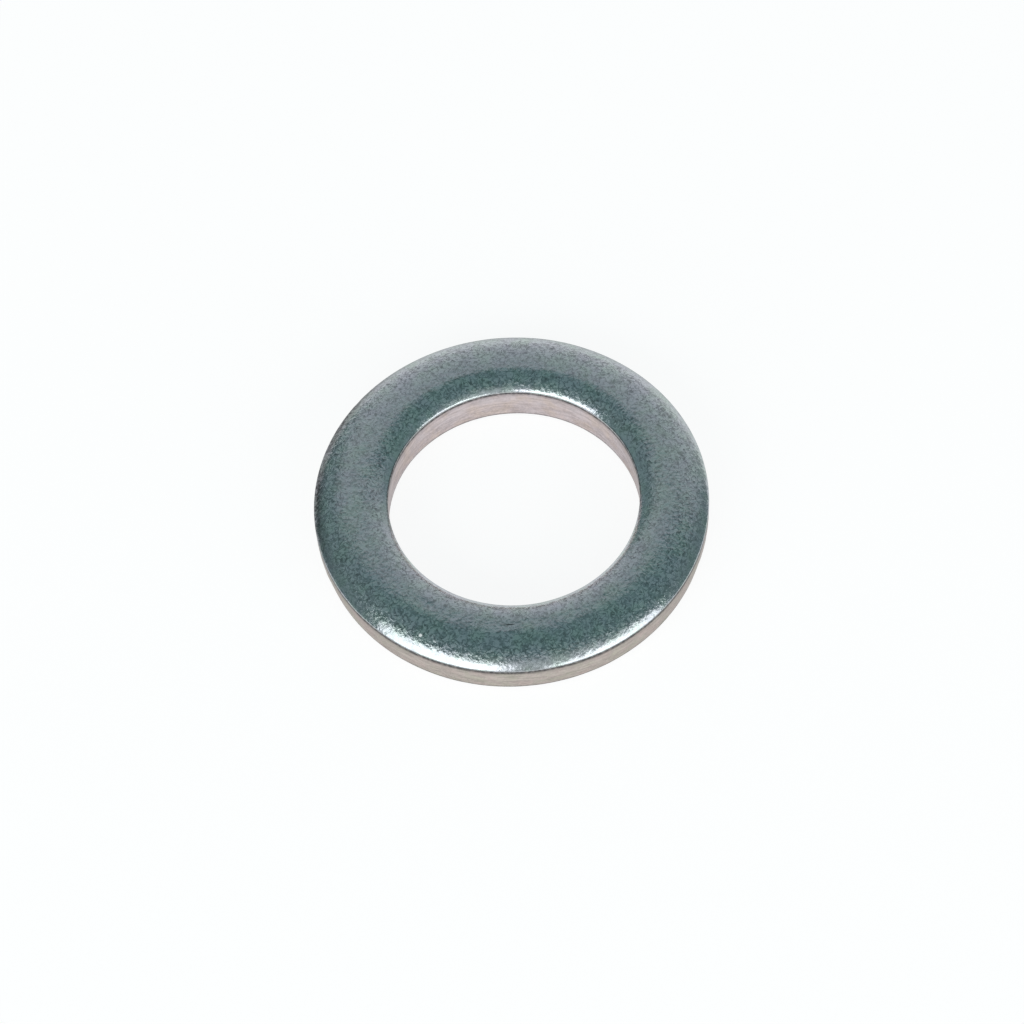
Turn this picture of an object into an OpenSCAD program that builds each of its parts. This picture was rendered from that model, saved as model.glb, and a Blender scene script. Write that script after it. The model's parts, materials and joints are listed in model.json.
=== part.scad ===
// Heavy flat washer, blanked and pierced from steel strip, then zinc plated.
// The origin is the middle of the outside edge, on the bottom face, with +Z up.
// The top is the side that the blanking tools entered, so its edges are drawn down.
// Each wall is an upright burnished band above a fracture band that breaks away.

/* [Ring] */
// Outside diameter
outside_d = 22; // [18:0.1:30]
// Diameter of the hole at its burnished band
hole_d = 14; // [8:0.1:18]
// Thickness at the flat land
thickness = 3; // [2.4:0.1:4]
// Where the hole's middle is from the rim's middle, along X and Y
hole_offset = [0.15, -0.06]; // [-0.2:0.01:0.2]
// Least width of flat land left between the two drawn-down edges
land_min_w = 0.2; // [0.1:0.05:0.5]

/* [Rim] */
// Width of the rim's drawn-down top edge
rim_roll_w = 2.2; // [1:0.05:2.8]
// Depth of the rim's drawn-down top edge
rim_roll_h = 0.92; // [0.2:0.01:1.1]
// Rounding where the rim's drawn-down edge meets its wall
rim_crest_r = 0.15; // [0.05:0.01:0.2]
// Height of the rim's burnished band
rim_burnish_h = 0.95; // [0.4:0.05:1.4]
// How far the rim's fracture band breaks away at the bottom
rim_breakout = 0.17; // [0.05:0.01:0.25]
// Rounding of the rim's bottom edge
rim_heel_r = 0.2; // [0.05:0.01:0.25]

/* [Hole] */
// Width of the hole's drawn-down top edge
hole_roll_w = 1.4; // [0.7:0.05:1.8]
// Depth of the hole's drawn-down top edge
hole_roll_h = 0.63; // [0.2:0.01:0.8]
// Rounding where the hole's drawn-down edge meets its wall
hole_crest_r = 0.15; // [0.05:0.01:0.2]
// Height of the hole's burnished band
hole_burnish_h = 1.1; // [0.4:0.05:1.6]
// How far the hole's fracture band breaks away at the bottom
hole_breakout = 0.11; // [0.05:0.01:0.25]
// Rounding of the hole's bottom edge
hole_heel_r = 0.15; // [0.05:0.01:0.25]

/* [Hidden] */
$fn = 180;

rim_r = outside_d / 2;
hole_r = hole_d / 2;
ring_w = rim_r - hole_r - norm(hole_offset);

// Both drawn-down edges shrink together where the ring has no room for them
roll_fit = min(1, (ring_w - land_min_w) / (rim_roll_w + hole_roll_w));

// Overlap of each cutting shape with the air beside the steel
over = 1;

// How far proud each arc stands, so that it crosses its neighbours and doesn't only touch them
hair = 0.0005;

// Unit vector at an angle from +X
function ray(angle) = [cos(angle), sin(angle)];

// Radius of an arc that leaves the flat land level and drops h over a width w
function roll_r(w, h) = (w * w + h * h) / (2 * h);

// What a convex corner loses when it is rounded to radius r about the point c,
// between the directions from_a and to_a
module corner_loss(c, r, from_a, to_a) {
    reach = 4 * r;
    difference() {
        polygon([c, c + reach * ray(from_a), c + reach * ray((from_a + to_a) / 2), c + reach * ray(to_a)]);
        translate(c) circle(r);
    }
}

// Section of the metal missing beside an upright wall: the wall is x = 0, the
// steel is at x > 0, and it stands from z = 0 up to the thickness
module edge_loss(roll_w, roll_h, crest_r, burnish_h, breakout, heel_r) {
    arc_r = roll_r(roll_w, roll_h);
    arc_c = [roll_w, thickness - arc_r + hair];
    crest_x = crest_r - hair;
    crest_up = sqrt(pow(arc_r - crest_r + hair, 2) - pow(roll_w - crest_x, 2));
    crest_c = [crest_x, arc_c.y + crest_up];
    crest_a = 180 - atan2(crest_up, roll_w - crest_x);

    fracture_h = crest_c.y - burnish_h;
    lean = atan2(breakout, fracture_h);
    heel_c = [breakout + heel_r * (1 - sin(lean)) / cos(lean) - hair, heel_r - hair];

    // Drawn-down top edge
    difference() {
        translate([-over, thickness - roll_h]) square([roll_w + over, roll_h + over]);
        translate(arc_c) circle(arc_r);
    }
    corner_loss(crest_c, crest_r, crest_a, 180);

    // Fracture band and rounded bottom edge
    polygon([[0, fracture_h], [breakout, 0], [breakout, -over], [-over, -over], [-over, fracture_h]]);
    corner_loss(heel_c, heel_r, 180 + lean, 270);
}

// The blank: a disc with its drawn-down and broken-away rim
module blank() {
    rotate_extrude() difference() {
        square([rim_r, thickness]);
        translate([rim_r, 0]) mirror([1, 0])
            edge_loss(rim_roll_w * roll_fit, rim_roll_h * roll_fit,
                      rim_crest_r, rim_burnish_h, rim_breakout, rim_heel_r);
    }
}

// The pierced hole, with the metal drawn down and broken away around it
module pierced_hole() {
    rotate_extrude() {
        translate([0, -over]) square([hole_r, thickness + 2 * over]);
        translate([hole_r, 0])
            edge_loss(hole_roll_w * roll_fit, hole_roll_h * roll_fit,
                      hole_crest_r, hole_burnish_h, hole_breakout, hole_heel_r);
    }
}

module washer() {
    color("#7d8a8d") difference() {
        blank();
        translate(hole_offset) pierced_hole();
    }
}

washer();
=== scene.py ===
# Flat washer, blanked from strip and zinc plated, in a small white studio
import json
import math
import random

import bmesh
import bpy
from mathutils import Matrix, Vector, noise


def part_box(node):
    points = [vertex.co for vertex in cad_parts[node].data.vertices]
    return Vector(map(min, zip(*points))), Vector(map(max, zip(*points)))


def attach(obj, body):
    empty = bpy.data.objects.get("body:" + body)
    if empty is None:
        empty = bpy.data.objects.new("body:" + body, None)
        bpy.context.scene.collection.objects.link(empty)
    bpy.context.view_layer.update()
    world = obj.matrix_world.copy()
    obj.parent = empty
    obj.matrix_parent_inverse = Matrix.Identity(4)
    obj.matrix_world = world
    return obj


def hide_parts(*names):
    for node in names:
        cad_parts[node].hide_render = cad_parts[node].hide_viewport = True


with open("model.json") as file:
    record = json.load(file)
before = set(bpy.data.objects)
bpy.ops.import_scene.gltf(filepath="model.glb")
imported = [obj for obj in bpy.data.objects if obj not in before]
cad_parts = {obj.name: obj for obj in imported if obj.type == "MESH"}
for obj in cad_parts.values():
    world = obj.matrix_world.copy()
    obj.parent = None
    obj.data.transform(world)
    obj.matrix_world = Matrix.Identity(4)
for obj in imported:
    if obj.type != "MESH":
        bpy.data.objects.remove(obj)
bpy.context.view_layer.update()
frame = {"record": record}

mm = 0.001                     # sizes are in millimetres, and become metres where they go into Blender
washerLow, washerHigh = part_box("washer")
holeMount = next(m for m in frame["record"]["mounts"] if m["name"] == "hole")

scene = bpy.context.scene
scene.view_settings.view_transform = "Standard"     # the white table stays white


def hexToLinear(hexColour):
    # "#rrggbb" in sRGB to the linear rgba that Blender's sockets take
    channels = [int(hexColour[i:i + 2], 16) / 255 for i in (1, 3, 5)]
    return [c / 12.92 if c <= 0.04045 else ((c + 0.055) / 1.055) ** 2.4 for c in channels] + [1.0]


def addNode(tree, kind, inputs=None, stops=None, **settings):
    newNode = tree.nodes.new(kind)
    for name, value in settings.items():
        setattr(newNode, name, value)
    for key, value in (inputs or {}).items():
        if isinstance(value, bpy.types.NodeSocket):
            tree.links.new(value, newNode.inputs[key])
        else:
            newNode.inputs[key].default_value = value
    if stops:
        ramp = newNode.color_ramp.elements
        while len(ramp) < len(stops):
            ramp.new(1.0)
        for element, (place, colour) in zip(ramp, stops):
            element.position = place
            element.color = hexToLinear(colour) if isinstance(colour, str) else [colour] * 3 + [1.0]
    return newNode


washer = {
    "segments": 640,           # round the ring, about 0.11 mm apart at the rim
    "rimR": max(washerHigh.x - washerLow.x, washerHigh.y - washerLow.y) / 2 / mm,
    "holeR": holeMount["dims"]["r_mm"],
    "holeX": holeMount["pos_m"][0] / mm,      # the hole was pierced a little off the middle
    "holeY": holeMount["pos_m"][1] / mm,
    "thick": (washerHigh.z - washerLow.z) / mm,
    # each edge: the drawn-down roll, the tight crest, the burnished band, the torn fracture band and the
    # heel. "askew" is how much deeper and narrower the roll is at the front than at the sides.
    "rim": {"rollW": 2.2, "rollH": 0.92, "crestR": 0.15, "burnishH": 0.95, "breakout": 0.17,
            "heelR": 0.2, "outward": 1, "askew": 0.03,
            "rubFrom": 0.9, "rubReach": 0.32, "rubAll": 0.2, "rubTowards": [150, 174]},
    "hole": {"rollW": 1.4, "rollH": 0.63, "crestR": 0.15, "burnishH": 1.1, "breakout": 0.11,
             "heelR": 0.15, "outward": -1, "askew": 0.04,
             "rubFrom": 1.4, "rubReach": 0.28, "rubAll": 0.0, "rubTowards": [8, 168]},
    "rows": {"roll": 34, "crest": 7, "burnish": 10, "fracture": 12, "heel": 6, "land": 8, "bottom": 10},
    "rollWobble": {"width": 0.05, "widthTurns": 1.7, "depth": 0.02, "depthTurns": 2.2},
    # how far the burnished band's lower border wanders, slowly and by a share quickly
    "tearWobble": {"reach": 0.14, "slowTurns": 2.5, "quickTurns": 9.0, "quickShare": 0.5},
}

# relief in millimetres, and how fast each noise changes over a millimetre or round the ring
relief = {
    "strip": {"height": 0.0035, "wave": 0.8, "ripple": 1.9, "rippleShare": 0.6},    # left by the mill
    "drag": {"height": 0.0025, "around": 1.4, "down": 0.5},     # upright lines in the burnished band
    "tear": {"height": 0.014, "around": 0.7, "down": 3.2, "grit": 6.0, "gritShare": 0.8, "gritMiddle": 0.25},
    "pull": {"height": 0.002, "scale": 4.3, "steepest": 1.4},   # lumps where the rolls were stretched
    "ringTurns": 40,
}

# small knocks from tumbling in the plating barrel
dings = {
    "seed": 14,
    "count": 46,
    "crestEvery": 4,           # one in so many is on a crest, and the others are on the top
    "rimShare": 0.6,           # of those on a crest, how many are on the rim's
    "crestIn": 0.1,
    "crestDown": 0.8,
    "edgeGap": 0.5,
    "radius": (0.1, 0.34),
    "depth": (0.004, 0.016),
}

# painted shade and painted dark reflection on the tight edges, from the tilt "rubFrom" on the crest to
# "rubReach" millimetres down the wall, and up the roll by "rubAll" everywhere and fully at the azimuths
# "rubTowards"
edgeShading = {
    "focus": 8,                # how closely the painted shade keeps to those azimuths
    "rollFrom": 0.5,           # the tilt at which it starts on the roll
    "rollFade": 0.2,
    "wallTop": 1.8,
    "wallFade": 2,
    "tail": 0.3,               # a faint rest of it lower down
    "tailReach": 2,
    # painted contact shade on the heel, where it meets the table
    "heel": 0.7,
}

# how much of the strip's grain shows. The rolls open it at first, and iron it flat where they are steep
grainShares = {
    "walls": 0.22,
    "fracture": 0.3,
    "underside": 0.6,
    "pastTilt": 1.6,           # tilts above this are underneath
    "land": 0.75,
    "openTilt": 0.28,
    "ironed": 0.42,
    "ironTilt": 0.5,
    "ironSpan": 0.22,
}


def drift(angle, seed, speed=1.0):
    # smooth noise from -1 to 1 that closes on itself round the ring
    return noise.noise(Vector((math.cos(angle) * speed, math.sin(angle) * speed, seed * 7.31)))


def edgeOutline(edge, angle, seed):
    # rows of (distance in from the wall, height, tilt, zone), from the land's border down to the bottom face;
    # tilt is 0 where the surface faces up, a quarter turn at the wall and a half turn underneath
    rows = washer["rows"]
    wobble, tearing = washer["rollWobble"], washer["tearWobble"]
    askew = edge["askew"] * math.sin(angle)
    rollW = edge["rollW"] * (1 + wobble["width"] * drift(angle, seed, wobble["widthTurns"]) + askew)
    rollH = edge["rollH"] * (1 + wobble["depth"] * drift(angle, seed + 1, wobble["depthTurns"]) - askew)
    crestR, heelR = edge["crestR"], edge["heelR"]
    rollR = (rollW ** 2 + rollH ** 2) / (2 * rollH)
    rollUp = washer["thick"] - rollR
    crestUp = rollUp + math.sqrt((rollR - crestR) ** 2 - (rollW - crestR) ** 2)
    crestTilt = math.atan2(rollW - crestR, crestUp - rollUp)
    tear = crestUp - edge["burnishH"]
    quick = tearing["quickShare"] * drift(angle, seed + 3, tearing["quickTurns"])
    tear += tearing["reach"] * (drift(angle, seed + 2, tearing["slowTurns"]) + quick)
    lean = math.atan2(edge["breakout"], tear)
    heelIn = edge["breakout"] + heelR * (1 - math.sin(lean)) / math.cos(lean)
    heelTop = (heelIn - heelR * math.cos(lean), heelR + heelR * math.sin(lean))

    outline = []

    def arc(inset, up, radius, fromTilt, toTilt, count, zone):
        for i in range(count):
            tilt = fromTilt + (toTilt - fromTilt) * i / count
            outline.append((inset - radius * math.sin(tilt), up + radius * math.cos(tilt), tilt, zone))

    def straight(start, end, tilt, count, zone):
        for i in range(count):
            t = i / count
            inset = start[0] + (end[0] - start[0]) * t
            up = start[1] + (end[1] - start[1]) * t
            outline.append((inset, up, tilt, zone))

    arc(rollW, rollUp, rollR, 0, crestTilt, rows["roll"], "roll")
    arc(crestR, crestUp, crestR, crestTilt, math.pi / 2, rows["crest"], "crest")
    straight((0, crestUp), (0, tear), math.pi / 2, rows["burnish"], "burnish")
    straight((0, tear), heelTop, math.pi / 2 + lean, rows["fracture"], "fracture")
    arc(heelIn, heelR, heelR, math.pi / 2 + lean, math.pi, rows["heel"], "heel")
    outline.append((heelIn, 0.0, math.pi, "bottom"))
    return outline


def makeDings():
    # (place, radius, depth) of each knock
    rng = random.Random(dings["seed"])
    knocks = []
    for i in range(dings["count"]):
        angle = rng.uniform(0, 2 * math.pi)
        reach = rng.uniform(washer["holeR"] + dings["edgeGap"], washer["rimR"] - dings["edgeGap"])
        height = washer["thick"]
        if i % dings["crestEvery"] == 0:
            onRim = rng.random() < dings["rimShare"]
            reach = washer["rimR"] - dings["crestIn"] if onRim else washer["holeR"] + dings["crestIn"]
            height = washer["thick"] - dings["crestDown"]
        place = Vector((reach * math.cos(angle), reach * math.sin(angle), height))
        knocks.append((place, rng.uniform(*dings["radius"]), rng.uniform(*dings["depth"])))
    return knocks


def standOut(point, tilt, zone, angle, knocks):
    # how far the surface stands out of its clean shape, in millimetres
    strip, drag, tear, pull = relief["strip"], relief["drag"], relief["tear"], relief["pull"]
    ripple = strip["rippleShare"] * noise.noise(point * strip["ripple"] + Vector((5, 1, 2)))
    out = strip["height"] * (noise.noise(point * strip["wave"]) + ripple)
    around = Vector((math.cos(angle), math.sin(angle), 0)) * relief["ringTurns"]
    if zone == "burnish":
        line = Vector((around.x * drag["around"], around.y * drag["around"], point.z * drag["down"]))
        out += drag["height"] * noise.noise(line)
    if zone == "fracture":
        rip = Vector((around.x * tear["around"], around.y * tear["around"], point.z * tear["down"]))
        grit = abs(noise.noise(point * tear["grit"])) - tear["gritMiddle"]
        out += tear["height"] * (noise.noise(rip) + tear["gritShare"] * grit)
    if tilt < pull["steepest"]:
        steep = math.sin(tilt) ** 2
        out += pull["height"] * steep * noise.noise(point * pull["scale"])
    for place, radius, depth in knocks:
        gap = (point - place).length_squared / radius ** 2
        if gap < 1:
            out -= depth * (1 - gap) ** 2
    return out


def grainShare(tilt, zone):
    shares = grainShares
    if zone in ("burnish", "heel"):
        return shares["walls"]
    if zone == "fracture":
        return shares["fracture"]
    if tilt > shares["pastTilt"]:
        return shares["underside"]
    opened = shares["land"] + (1 - shares["land"]) * tilt / shares["openTilt"]
    ironed = 1 - (1 - shares["ironed"]) * (tilt - shares["ironTilt"]) / shares["ironSpan"]
    return min(opened, 1.0, max(shares["ironed"], ironed))


def edgeShadeShare(edge, zone, tilt, down, edgeShaded):
    # "down" is how far below the crest the place is, as a share of the edge's own reach
    # painted dark reflection on the rim's roll, strongest at the azimuths "rubTowards"
    if zone == "roll" and edge is washer["rim"]:
        return edgeShaded * max(0.0, min(1.0, (tilt - edgeShading["rollFrom"]) / edgeShading["rollFade"]))
    if zone == "crest":
        return max(edgeShaded, (tilt - edge["rubFrom"]) / (math.pi / 2 - edge["rubFrom"]))
    if zone == "burnish":
        solid = min(1.0, edgeShading["wallTop"] - edgeShading["wallFade"] * down)
        return max(0.0, solid, edgeShading["tail"] * (1 - down / edgeShading["tailReach"]))
    # painted contact shade on the heel
    return edgeShading["heel"] if zone == "heel" else 0.0


def buildWasher():
    centre = {"rim": Vector((0, 0, 0)), "hole": Vector((washer["holeX"], washer["holeY"], 0))}
    knocks = makeDings()
    rows = washer["rows"]
    mesh = bmesh.new()
    wallMark = mesh.verts.layers.float.new("wall")        # 1 on the upright walls
    boreMark = mesh.verts.layers.float.new("bore")        # 1 on the hole's side of the ring
    tearMark = mesh.verts.layers.float.new("torn")        # 1 on the fracture bands
    edgeShadeMark = mesh.verts.layers.float.new("rubbed")       # 1 where the tight edges get painted shade and painted dark reflection
    grainMark = mesh.verts.layers.float.new("grain")      # how strongly the grain of the strip shows
    columns = []
    for i in range(washer["segments"]):
        angle = 2 * math.pi * i / washer["segments"]
        ray = Vector((math.cos(angle), math.sin(angle), 0))

        def places(name, radius, seed):
            edge = washer[name]
            found = []
            outline = edgeOutline(edge, angle, seed)
            crestTop = next(height for inset, height, tilt, zone in outline if zone == "burnish")
            # painted dark reflection, strongest on the sides that face the azimuths "rubTowards"
            facing = max(max(0.0, math.cos(angle - math.radians(side))) for side in edge["rubTowards"])
            edgeShaded = max(facing ** edgeShading["focus"], edge["rubAll"])
            for inset, height, tilt, zone in outline:
                point = centre[name] + ray * (radius - edge["outward"] * inset) + Vector((0, 0, height))
                normal = ray * math.sin(tilt) * edge["outward"] + Vector((0, 0, math.cos(tilt)))
                down = (crestTop - height) / edge["rubReach"]
                found.append((point, normal, tilt, zone, edgeShadeShare(edge, zone, tilt, down, edgeShaded)))
            return found

        rimSide = places("rim", washer["rimR"], 3)
        holeSide = places("hole", washer["holeR"], 11)
        under = []
        for k in range(1, rows["bottom"]):
            point = rimSide[-1][0].lerp(holeSide[-1][0], k / rows["bottom"])
            under.append((point, Vector((0, 0, -1)), math.pi, "bottom", 0.0))
        land = []
        for k in range(1, rows["land"]):
            point = holeSide[0][0].lerp(rimSide[0][0], k / rows["land"])
            land.append((point, Vector((0, 0, 1)), 0, "land", 0.0))
        column = []
        for k, (point, normal, tilt, zone, rubbed) in enumerate(rimSide + under + holeSide[::-1] + land):
            moved = point + normal * standOut(point, tilt, zone, angle, knocks)
            vert = mesh.verts.new(moved * mm)
            vert[wallMark] = 1.0 if zone in ("burnish", "fracture", "heel") else 0.0
            vert[boreMark] = 1.0 if k >= len(rimSide) + len(under) else 0.0
            vert[tearMark] = 1.0 if zone == "fracture" else 0.0
            vert[edgeShadeMark] = rubbed
            vert[grainMark] = grainShare(tilt, zone)
            column.append(vert)
        columns.append(column)
    for i, column in enumerate(columns):
        after = columns[(i + 1) % len(columns)]
        for k in range(len(column)):
            below = (k + 1) % len(column)
            mesh.faces.new((column[k], column[below], after[below], after[k]))
    data = bpy.data.meshes.new("flatWasher")
    mesh.to_mesh(data)
    mesh.free()
    data.shade_smooth()
    piece = bpy.data.objects.new("flatWasher", data)
    scene.collection.objects.link(piece)
    print("washer built:", len(data.vertices), "vertices")
    return piece


# Electroplated zinc over blanked strip: a satin metal, cool grey with a blue passivate, with the crawling
# grain of the strip's skin under it. The sheared walls are smoother and warmer, and the tight edges carry
# painted shade and painted dark reflection. Sizes are in millimetres. A "Band" is the part of a noise or a
# distance that does the work.
zincPlatedSteel = {
    "face": ["#cedad7", "#d2d9dc", "#d2d6dd"],       # drifts between green, grey and violet
    "rimWall": ["#cdc0ba", "#cac1ba", "#c7c2b6"],
    "boreWall": ["#d6ccce", "#d6caca", "#d8cac5"],
    "cloudStops": (0.36, 0.5, 0.64),
    # colour of the painted shade and painted dark reflection on the tight edges
    "rubbed": "#505052",
    "streak": "#2c2624",
    "line": "#000000",
    "dent": "#1c2022",
    "crumb": "#ffffff",
    "grazing": "#d2d2d2",         # the film takes away most of a metal's white edge
    "brightRoughness": 0.1,
    "mattRoughness": 0.3,
    "ironedRoughness": 0.16,      # where a roll is steep
    "wallRoughness": 0.34,
    "tornRoughness": 0.46,
    "lumpFit": 0.7,               # brings a noise's lumps near the width given for them
    "grainMm": 0.13,              # a grain of the strip's skin, drawn coarser than the real one
    "grainHeight": 0.024,
    "swellMm": 0.55,              # gentler lumps under the grain
    "swellHeight": 0.012,
    "crawlMm": 0.18,              # bright, smooth lines that crawl between the matt grains
    "crawlDepth": 0.46,
    "lineBand": (0.02, 0.1),
    "brokenBand": (0.35, 0.65),
    "brokenShare": (0.45, 1.3),
    "cloudMm": 1.1,               # patches of the passivate
    "streakMm": 0.14,             # height of the faint streaks that run along the walls
    "streakFit": 0.9,
    "streakStretch": (0.16, 0.16, 1.0),     # six times longer round the ring than they are high
    "streakBand": (0.35, 0.6),
    "streakDepth": 0.2,
    "rubBand": (0.3, 0.6),
    "rubStrength": (0.6, 1.0),
    "dragMm": 0.09,               # width of the upright lines that the die dragged in the burnished bands
    "dragStretch": (1.0, 1.0, 0.1),
    "dragHeight": 0.006,
    # a white spot by the front edge, painted as a glint, and a short dark nick in the land
    "fleck": {"azimuth": 238.4, "in": 0.78, "down": 0.34, "radius": 0.1, "softBand": (0.7, 1.2)},
    "nick": {"azimuth": 266.4, "in": 2.38, "down": 0.0, "halfSize": (0.3, 0.045, 0.2),
             "softBand": (0.6, 1.3), "strength": 0.75},
}


def spotOnTop(spot):
    # where a mark is: so far in from the rim, and so far down from the flat land
    azimuth, reach = math.radians(spot["azimuth"]), washer["rimR"] - spot["in"]
    return (math.cos(azimuth) * reach, math.sin(azimuth) * reach, washer["thick"] - spot["down"])


def makeZincPlatedSteel(look):
    material = bpy.data.materials.new("zincPlatedSteel")
    material.use_nodes = True
    tree = material.node_tree
    tree.nodes.clear()

    def mark(name):
        return addNode(tree, "ShaderNodeAttribute", attribute_name=name).outputs["Fac"]

    def reckon(operation, *values):
        return addNode(tree, "ShaderNodeMath", dict(enumerate(values)), operation=operation).outputs[0]

    def vectors(operation, *values, output="Vector"):
        node = addNode(tree, "ShaderNodeVectorMath", dict(enumerate(values)), operation=operation)
        return node.outputs[output]

    def noiseAt(where, scale, **inputs):
        return addNode(tree, "ShaderNodeTexNoise", {"Vector": where, "Scale": scale, **inputs}).outputs[0]

    def between(value, band, result):
        ends = {"From Min": band[0], "From Max": band[1], "To Min": result[0], "To Max": result[1]}
        return addNode(tree, "ShaderNodeMapRange", {"Value": value, **ends}).outputs[0]

    def layer(share, under, over):
        colours = {0: share, 6: under, 7: hexToLinear(over) if isinstance(over, str) else over}
        return addNode(tree, "ShaderNodeMix", colours, data_type="RGBA").outputs[2]

    def clouded(cloud, colours):
        stops = list(zip(look["cloudStops"], colours))
        return addNode(tree, "ShaderNodeValToRGB", {0: cloud}, stops=stops).outputs[0]

    place = addNode(tree, "ShaderNodeTexCoord").outputs["Object"]
    inMm = addNode(tree, "ShaderNodeVectorMath", {0: place, "Scale": 1 / mm}, operation="SCALE").outputs[0]
    wall, bore, torn = mark("wall"), mark("bore"), mark("torn")
    rubbed, grainHere = mark("rubbed"), mark("grain")
    fit = look["lumpFit"]
    cloud = noiseAt(inMm, 1 / look["cloudMm"], Detail=2.0, Roughness=0.6)
    grain = noiseAt(inMm, fit / look["grainMm"], Detail=2.0, Roughness=0.5)
    swell = noiseAt(inMm, fit / look["swellMm"], Detail=1.0)
    crawl = noiseAt(inMm, fit / look["crawlMm"], Detail=1.5, Distortion=0.8)

    face = clouded(cloud, look["face"])
    sheared = layer(bore, clouded(cloud, look["rimWall"]), clouded(cloud, look["boreWall"]))
    alongRing = vectors("MULTIPLY", inMm, look["streakStretch"])
    streak = noiseAt(alongRing, look["streakFit"] / look["streakMm"], Detail=2.0)
    streakHere = between(streak, look["streakBand"], (look["streakDepth"], 0.0))
    plated = layer(wall, face, layer(streakHere, sheared, look["streak"]))

    # the crawling lines are where one noise crosses its middle value, broken up by the grain
    nearLine = reckon("ABSOLUTE", reckon("SUBTRACT", crawl, 0.5))
    line = between(nearLine, look["lineBand"], (1.0, 0.0))
    lineThere = reckon("MULTIPLY", line, between(grain, look["brokenBand"], look["brokenShare"]))
    lineDark = reckon("MULTIPLY", grainHere, look["crawlDepth"])
    lined = layer(reckon("MULTIPLY", lineThere, lineDark), plated, look["line"])
    # painted shade and painted dark reflection on the tight edges and the heels, broken up by the grain
    edgeShadeHere = reckon("MULTIPLY", rubbed, between(grain, look["rubBand"], look["rubStrength"]))
    edgeShaded = layer(edgeShadeHere, lined, look["rubbed"])

    # the nick is a flat ellipsoid, and the painted glint a ball, each softened at its border
    nickLook, glintLook = look["nick"], look["fleck"]
    fromNick = vectors("SUBTRACT", inMm, spotOnTop(nickLook))
    nickAway = vectors("LENGTH", vectors("DIVIDE", fromNick, nickLook["halfSize"]), output="Value")
    nick = between(nickAway, nickLook["softBand"], (nickLook["strength"], 0.0))
    glintAway = vectors("DISTANCE", inMm, spotOnTop(glintLook), output="Value")
    glintBand = [glintLook["radius"] * share for share in glintLook["softBand"]]
    fleck = between(glintAway, glintBand, (1.0, 0.0))
    colour = layer(fleck, layer(nick, edgeShaded, look["dent"]), look["crumb"])

    # matt grains beside mirror-like lines, so the skin's contrast is strongest where the room is dark
    grainRoughness = between(line, (0.0, 1.0), (look["mattRoughness"], look["brightRoughness"]))
    wallRoughness = between(torn, (0.0, 1.0), (look["wallRoughness"], look["tornRoughness"]))
    faceMix = {0: grainHere, 2: look["ironedRoughness"], 3: grainRoughness}
    faceRoughness = addNode(tree, "ShaderNodeMix", faceMix).outputs[0]
    roughness = addNode(tree, "ShaderNodeMix", {0: wall, 2: faceRoughness, 3: wallRoughness}).outputs[0]

    lumps = addNode(tree, "ShaderNodeBump",
                    {"Height": swell, "Distance": look["swellHeight"] * mm}).outputs[0]
    skin = addNode(tree, "ShaderNodeBump", {"Height": grain, "Strength": grainHere, "Normal": lumps,
                                            "Distance": look["grainHeight"] * mm}).outputs[0]
    drag = noiseAt(vectors("MULTIPLY", inMm, look["dragStretch"]), fit / look["dragMm"])
    dragHere = reckon("SUBTRACT", wall, torn)
    dragged = addNode(tree, "ShaderNodeBump", {"Height": drag, "Strength": dragHere, "Normal": skin,
                                               "Distance": look["dragHeight"] * mm}).outputs[0]

    metal = reckon("SUBTRACT", 1.0, fleck)      # the painted glint is plain white, not metal
    shader = addNode(tree, "ShaderNodeBsdfPrincipled",
                     {"Base Color": colour, "Metallic": metal, "Roughness": roughness, "Normal": dragged,
                      "Specular Tint": hexToLinear(look["grazing"])})
    addNode(tree, "ShaderNodeOutputMaterial", {"Surface": shader.outputs[0]})
    return material


studio = {
    "floorSize": 3000,
    "floorColour": "#838383",
    "floorRoughness": 0.9,
    "floorGlow": 0.88,            # a lit white table: the steel throws almost no shadow on it
    "glowColour": "#ffffff",
    # what hangs over the table, by the angle from straight up: minus towards the camera, plus away from it
    "sweep": [(-180, "#d0d0d0"), (-62, "#bcc2c2"), (-50, "#b8c0c0"), (-36, "#798b8b"),
              (-24, "#6a8384"), (22, "#6a8384"), (33, "#9ea7a9"), (56, "#a8afb3"), (70, "#bdc1c5"),
              (86, "#c9cacd"), (180, "#d0d0d0")],
    "sideShade": "#728687",
    "leftShade": (-0.3, -0.62),   # the side parts of the sweep fall into shade between these
    "rightShade": (0.62, 0.95),
    "softboxes": {
        "leftSoftbox": {"azimuth": 232, "elevation": 23, "width": 600, "height": 385, "radiance": 1.95},
        "rightSoftbox": {"azimuth": 311, "elevation": 16.5, "width": 580, "height": 305, "radiance": 1.75},
    },
    "boxDistance": 600,
}


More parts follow.
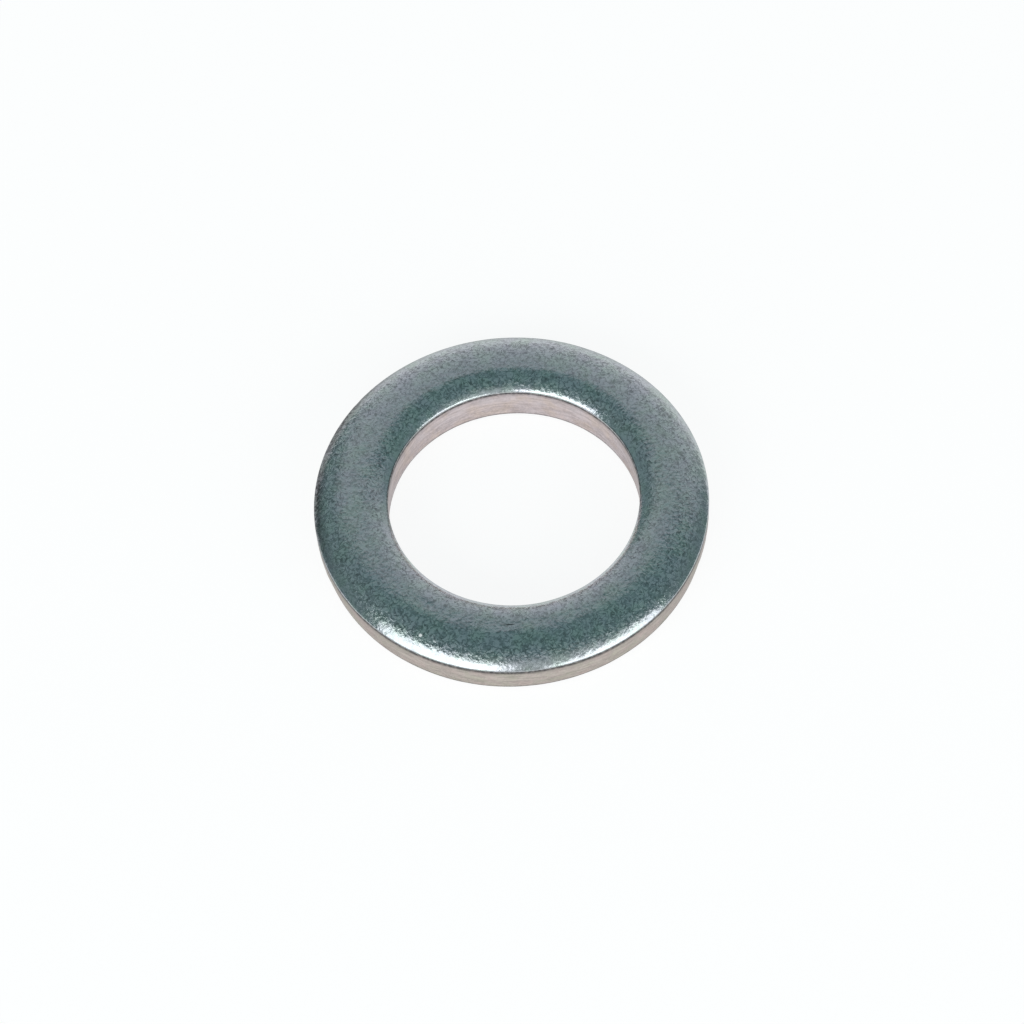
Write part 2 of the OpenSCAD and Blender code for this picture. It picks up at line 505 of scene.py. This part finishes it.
def makeWorld():
    world = bpy.data.worlds.new("studioSweep")
    scene.world = world
    world.use_nodes = True
    tree = world.node_tree
    tree.nodes.clear()
    look = addNode(tree, "ShaderNodeTexCoord").outputs["Generated"]
    axes = addNode(tree, "ShaderNodeSeparateXYZ", {0: look}).outputs
    lean = addNode(tree, "ShaderNodeMath", {0: axes["Y"], 1: axes["Z"]}, operation="ARCTAN2").outputs[0]
    turn = addNode(tree, "ShaderNodeMath", {0: lean, 1: 1 / (2 * math.pi), 2: 0.5},
                   operation="MULTIPLY_ADD").outputs[0]
    stops = [((degrees + 180) / 360, colour) for degrees, colour in studio["sweep"]]
    sweep = addNode(tree, "ShaderNodeValToRGB", {0: turn}, stops=stops).outputs[0]
    shades = []
    for start, end in (studio["leftShade"], studio["rightShade"]):
        ends = {"Value": axes["X"], "From Min": start, "From Max": end}
        fade = addNode(tree, "ShaderNodeMapRange", ends, interpolation_type="SMOOTHSTEP")
        shades.append(fade.outputs[0])
    sideways = addNode(tree, "ShaderNodeMath", {0: shades[0], 1: shades[1]}, operation="ADD").outputs[0]
    shade = addNode(tree, "ShaderNodeMix", {0: sideways, 6: sweep, 7: hexToLinear(studio["sideShade"])},
                    data_type="RGBA").outputs[2]
    background = addNode(tree, "ShaderNodeBackground", {"Color": shade, "Strength": 1.0})
    addNode(tree, "ShaderNodeOutputWorld", {"Surface": background.outputs[0]})


def makeSoftbox(name, box):
    width, height = box["width"] * mm, box["height"] * mm
    light = bpy.data.lights.new(name, "AREA")
    light.shape = "RECTANGLE"
    light.size, light.size_y = width, height
    light.energy = box["radiance"] * math.pi * width * height
    lamp = bpy.data.objects.new(name, light)
    azimuth, elevation = math.radians(box["azimuth"]), math.radians(box["elevation"])
    towards = Vector((math.cos(azimuth) * math.cos(elevation), math.sin(azimuth) * math.cos(elevation),
                      math.sin(elevation)))
    lamp.location = towards * studio["boxDistance"] * mm
    lamp.rotation_euler = towards.to_track_quat("Z", "Y").to_euler()
    scene.collection.objects.link(lamp)


def makeFloor():
    half = studio["floorSize"] * mm / 2
    data = bpy.data.meshes.new("floor")
    corners = [(-half, -half, 0), (half, -half, 0), (half, half, 0), (-half, half, 0)]
    data.from_pydata(corners, [], [(0, 1, 2, 3)])
    floor = bpy.data.objects.new("floor", data)
    scene.collection.objects.link(floor)
    material = bpy.data.materials.new("whiteTable")
    material.use_nodes = True
    shader = material.node_tree.nodes["Principled BSDF"]
    shader.inputs["Base Color"].default_value = hexToLinear(studio["floorColour"])
    shader.inputs["Roughness"].default_value = studio["floorRoughness"]
    shader.inputs["Specular IOR Level"].default_value = 0.0
    shader.inputs["Emission Color"].default_value = hexToLinear(studio["glowColour"])
    shader.inputs["Emission Strength"].default_value = studio["floorGlow"]
    data.materials.append(material)


camera = {
    "elevation": 57.918,      # degrees above the table
    "distance": 147.1,        # from the washer's middle
    "tilt": 0.128,            # looking up a touch from the middle
    "roll": 3.845,            # the camera was held a little turned
    "lens": 91.83,
    "sensor": 36,
    "nearest": 5,
    "furthest": 10000,
}


def makeCamera():
    data = bpy.data.cameras.new("camera")
    data.lens = camera["lens"]
    data.sensor_width = camera["sensor"]
    data.clip_start = camera["nearest"] * mm
    data.clip_end = camera["furthest"] * mm
    view = bpy.data.objects.new("camera", data)
    elevation = math.radians(camera["elevation"])
    place = Vector((0, -math.cos(elevation), math.sin(elevation))) * camera["distance"] * mm
    aim = Matrix.Rotation(math.pi / 2 - elevation + math.radians(camera["tilt"]), 4, "X")
    roll = Matrix.Rotation(-math.radians(camera["roll"]), 4, "Z")
    view.matrix_world = Matrix.Translation(place) @ aim @ roll
    scene.collection.objects.link(view)
    scene.camera = view


makeCamera()
makeWorld()
makeFloor()
for boxName, box in studio["softboxes"].items():
    makeSoftbox(boxName, box)
print("studio ready")

ring = buildWasher()
ring.data.materials.append(makeZincPlatedSteel(zincPlatedSteel))
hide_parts("washer")
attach(ring, "root")
print("finish done")
